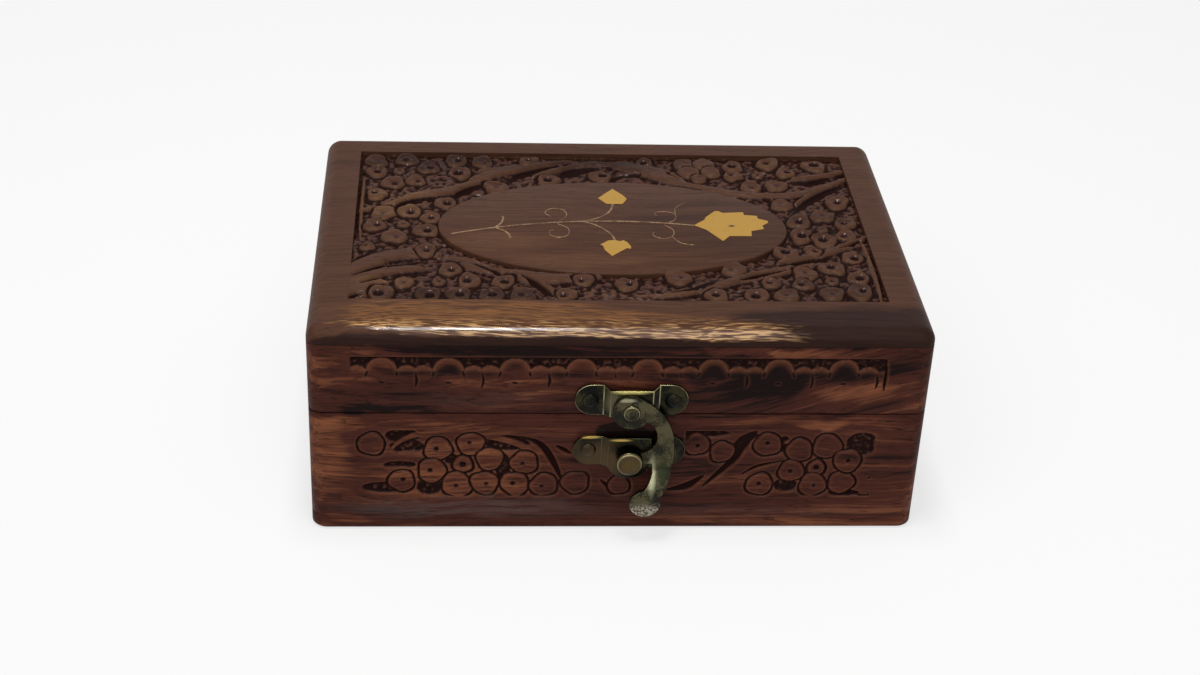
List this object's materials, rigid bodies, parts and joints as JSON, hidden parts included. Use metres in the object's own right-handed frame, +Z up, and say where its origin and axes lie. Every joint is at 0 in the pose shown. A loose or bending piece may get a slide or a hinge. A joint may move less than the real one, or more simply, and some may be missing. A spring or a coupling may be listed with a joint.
{
  "type": "jewelry box",
  "caption": "Rectangular carved hardwood keepsake box with a hinged lid, an inlaid oval medallion on top, a velvet-lined inside and a swing-hook latch in front.",
  "frame": {"origin": "middle of the underside, in the plane that the box stands on", "axes": "+X along the front to the viewer's right, +Y from the front to the hinges, +Z up"},
  "size_m": [0.152, 0.1107, 0.058],
  "materials": {
    "rosewood": "lacquered",
    "inlay_brass": "polished",
    "inlay_wire": "dull",
    "hinge_brass": "satin",
    "latch_brass": "antique",
    "velvet": "pile"
  },
  "bodies": {
    "base": {"base_back_board": "rosewood", "base_back_lining": "velvet", "base_floor_board": "rosewood", "base_floor_lining": "velvet", "base_front_board": "rosewood", "base_front_lining": "velvet", "base_left_board": "rosewood", "base_left_lining": "velvet", "base_right_board": "rosewood", "base_right_lining": "velvet", "hinge_left_base_leaf": "hinge_brass", "hinge_left_pin": "hinge_brass", "hinge_right_base_leaf": "hinge_brass", "hinge_right_pin": "hinge_brass", "latch_keeper_plate": "latch_brass", "latch_knob": "latch_brass"},
    "lid": {"hinge_left_lid_leaf": "hinge_brass", "hinge_right_lid_leaf": "hinge_brass", "inlay_back_bud": "inlay_brass", "inlay_bud_stems": "inlay_wire", "inlay_flower": "inlay_brass", "inlay_foot_tendrils": "inlay_wire", "inlay_front_bud": "inlay_brass", "inlay_main_stem": "inlay_wire", "latch_pivot_rivet": "latch_brass", "latch_top_plate": "latch_brass", "lid_back_board": "rosewood", "lid_back_lining": "velvet", "lid_front_board": "rosewood", "lid_front_lining": "velvet", "lid_left_board": "rosewood", "lid_left_lining": "velvet", "lid_right_board": "rosewood", "lid_right_lining": "velvet", "lid_top_board": "rosewood", "lid_top_lining": "velvet"},
    "hook": {"latch_hook": "latch_brass"}
  },
  "joints": [
    {"name": "lid_hinge", "type": "hinge", "parent": "base", "child": "lid", "pos_m": [0, 0.0495, 0.03465], "axis": [-1, 0, 0], "range_deg": [0, 98]},
    {"name": "hook_pivot", "type": "hinge", "parent": "lid", "child": "hook", "pos_m": [0.0024, -0.055, 0.0368], "axis": [0, -1, 0], "range_deg": [0, 100]}
  ]
}
